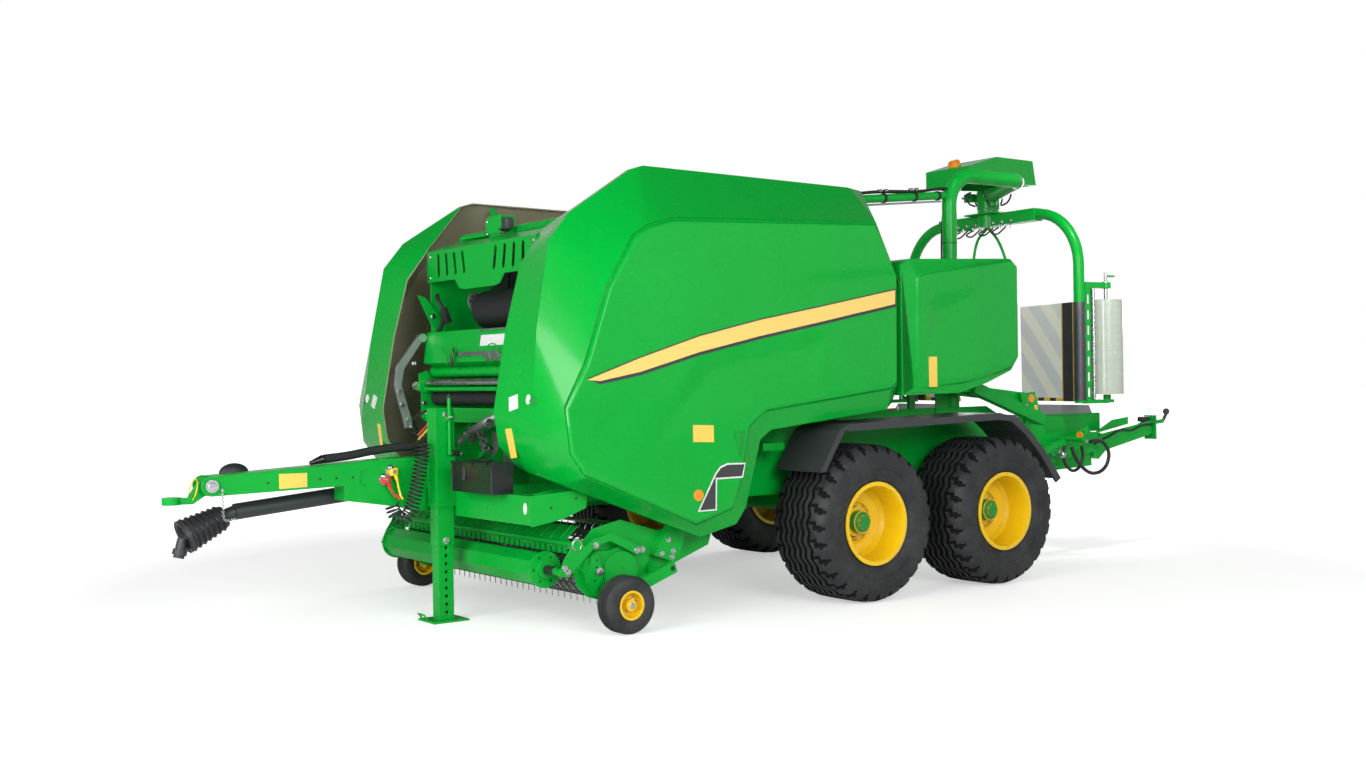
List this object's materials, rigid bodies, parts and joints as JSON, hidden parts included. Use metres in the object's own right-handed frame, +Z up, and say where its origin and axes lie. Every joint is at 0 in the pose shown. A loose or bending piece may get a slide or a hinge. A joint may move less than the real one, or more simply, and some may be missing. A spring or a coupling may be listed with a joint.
{
  "type": "towed round baler and wrapper",
  "caption": "Towed round baler with a twin-arm bale wrapper on a tandem axle: tined pickup, gull-wing side doors, tailgate, tipping table and parking jack.",
  "frame": {"origin": "on the floor under the middle of the machine's bounding box", "axes": "+Z up, the towing eye leads towards -Y, +X is the machine's left side"},
  "size_m": [3.004, 8.158, 3.27],
  "materials": {
    "green_paint": "gloss",
    "green_panel": "gloss",
    "yellow_paint": "gloss",
    "stripe_yellow": "gloss",
    "tyre": "matte",
    "black_rubber": "matte",
    "black_plastic": "satin",
    "steel": "satin",
    "grey_iron": "satin",
    "film": "gloss",
    "orange_lens": "gloss",
    "cloth": "matte"
  },
  "bodies": {
    "chassis": {"main_frame": "green_paint", "bumper": "green_paint", "drawbar": "green_paint", "towing_eye": "green_paint", "pto_shaft": "black_plastic", "gearbox": "grey_iron", "toolbox": "black_plastic", "jack_tube": "green_paint", "grille_panel": "green_paint", "net_cradle": "green_paint", "chamber_rollers": "steel", "net_roll": "black_plastic", "net_brake": "grey_iron", "chamber_walls": "green_paint", "chamber_belts": "black_rubber", "storage_boxes": "green_panel", "fenders": "black_plastic", "axles": "green_paint", "wrapper_frame": "green_paint", "portal": "green_paint", "hood": "green_panel", "beacon": "orange_lens", "rear_lights": "black_plastic", "air_hoses": "black_rubber", "rear_hoses": "black_rubber"},
    "toolbox_lid": {"toolbox_lid": "black_plastic"},
    "jack_leg": {"jack_leg": "green_paint"},
    "door_left": {"door_left": "green_panel", "stripe_left": "stripe_yellow"},
    "door_right": {"door_right": "green_panel", "stripe_right": "stripe_yellow"},
    "tailgate": {"tailgate": "green_paint"},
    "pickup": {"pickup_frame": "green_paint", "pickup_bands": "grey_iron"},
    "pickup_reel": {"pickup_reel": "steel"},
    "windguard": {"windguard": "green_paint"},
    "windguard_roller": {"windguard_roller": "green_paint"},
    "gauge_wheel_left": {"gauge_tyre_left": "tyre", "gauge_rim_left": "yellow_paint"},
    "gauge_wheel_right": {"gauge_tyre_right": "tyre", "gauge_rim_right": "yellow_paint"},
    "wrap_table": {"wrap_table": "green_paint", "table_belts": "grey_iron"},
    "wrap_rotor": {"wrap_rotor": "green_paint", "stretch_rollers": "steel", "wrap_sheets": "cloth"},
    "film_roll_left": {"film_roll_left": "film"},
    "film_roll_right": {"film_roll_right": "film"},
    "wheel_front_left": {"tyre_front_left": "tyre", "rim_front_left": "yellow_paint"},
    "wheel_front_right": {"tyre_front_right": "tyre", "rim_front_right": "yellow_paint"},
    "wheel_rear_left": {"tyre_rear_left": "tyre", "rim_rear_left": "yellow_paint"},
    "wheel_rear_right": {"tyre_rear_right": "tyre", "rim_rear_right": "yellow_paint"}
  },
  "joints": [
    {"name": "toolbox_lid_hinge", "type": "hinge", "parent": "chassis", "child": "toolbox_lid", "pos_m": [0.65, -2.477, 0.994], "axis": [1, 0, 0], "range_deg": [0, 100]},
    {"name": "jack_slide", "type": "slide", "parent": "chassis", "child": "jack_leg", "axis": [0, 0, 1], "range_m": [0, 0.25]},
    {"name": "door_left_hinge", "type": "hinge", "parent": "chassis", "child": "door_left", "pos_m": [1.085, -0.658, 2.75], "axis": [0, -1, 0], "range_deg": [0, 60]},
    {"name": "door_right_hinge", "type": "hinge", "parent": "chassis", "child": "door_right", "pos_m": [-1.085, -0.658, 2.75], "axis": [0, 1, 0], "range_deg": [0, 60]},
    {"name": "tailgate_hinge", "type": "hinge", "parent": "chassis", "child": "tailgate", "pos_m": [0, 0.022, 2.53], "axis": [1, 0, 0], "range_deg": [0, 35]},
    {"name": "pickup_lift", "type": "hinge", "parent": "chassis", "child": "pickup", "pos_m": [0, -1.108, 0.5], "axis": [-1, 0, 0], "range_deg": [0, 6]},
    {"name": "pickup_reel_spin", "type": "hinge", "parent": "pickup", "child": "pickup_reel", "pos_m": [0, -1.808, 0.365], "axis": [1, 0, 0], "continuous": true},
    {"name": "windguard_lift", "type": "hinge", "parent": "pickup", "child": "windguard", "pos_m": [0, -1.616, 0.46], "axis": [-1, 0, 0], "range_deg": [0, 5]},
    {"name": "windguard_roller_spin", "type": "hinge", "parent": "windguard", "child": "windguard_roller", "pos_m": [0, -2.179, 0.372], "axis": [1, 0, 0], "continuous": true},
    {"name": "gauge_wheel_left_spin", "type": "hinge", "parent": "pickup", "child": "gauge_wheel_left", "pos_m": [1.326, -1.833, 0.17], "axis": [1, 0, 0], "continuous": true},
    {"name": "gauge_wheel_right_spin", "type": "hinge", "parent": "pickup", "child": "gauge_wheel_right", "pos_m": [-1.326, -1.833, 0.17], "axis": [1, 0, 0], "continuous": true},
    {"name": "wheel_front_left_spin", "type": "hinge", "parent": "chassis", "child": "wheel_front_left", "pos_m": [1.252, 0.042, 0.517], "axis": [1, 0, 0], "continuous": true},
    {"name": "wheel_front_right_spin", "type": "hinge", "parent": "chassis", "child": "wheel_front_right", "pos_m": [-1.252, 0.042, 0.517], "axis": [1, 0, 0], "continuous": true},
    {"name": "wheel_rear_left_spin", "type": "hinge", "parent": "chassis", "child": "wheel_rear_left", "pos_m": [1.252, 1.284, 0.517], "axis": [1, 0, 0], "continuous": true},
    {"name": "wheel_rear_right_spin", "type": "hinge", "parent": "chassis", "child": "wheel_rear_right", "pos_m": [-1.252, 1.284, 0.517], "axis": [1, 0, 0], "continuous": true},
    {"name": "wrap_table_tip", "type": "hinge", "parent": "chassis", "child": "wrap_table", "pos_m": [0, 2.542, 0.93], "axis": [-1, 0, 0], "range_deg": [0, 30]},
    {"name": "wrap_rotor_spin", "type": "hinge", "parent": "chassis", "child": "wrap_rotor", "pos_m": [0, 2.822, 2.77], "axis": [0, 0, 1], "continuous": true},
    {"name": "film_roll_left_spin", "type": "hinge", "parent": "wrap_rotor", "child": "film_roll_left", "pos_m": [1.02234, 3.0337, 1.68], "axis": [0, 0, 1], "continuous": true},
    {"name": "film_roll_right_spin", "type": "hinge", "parent": "wrap_rotor", "child": "film_roll_right", "pos_m": [-1.02234, 2.6103, 1.68], "axis": [0, 0, 1], "continuous": true}
  ]
}
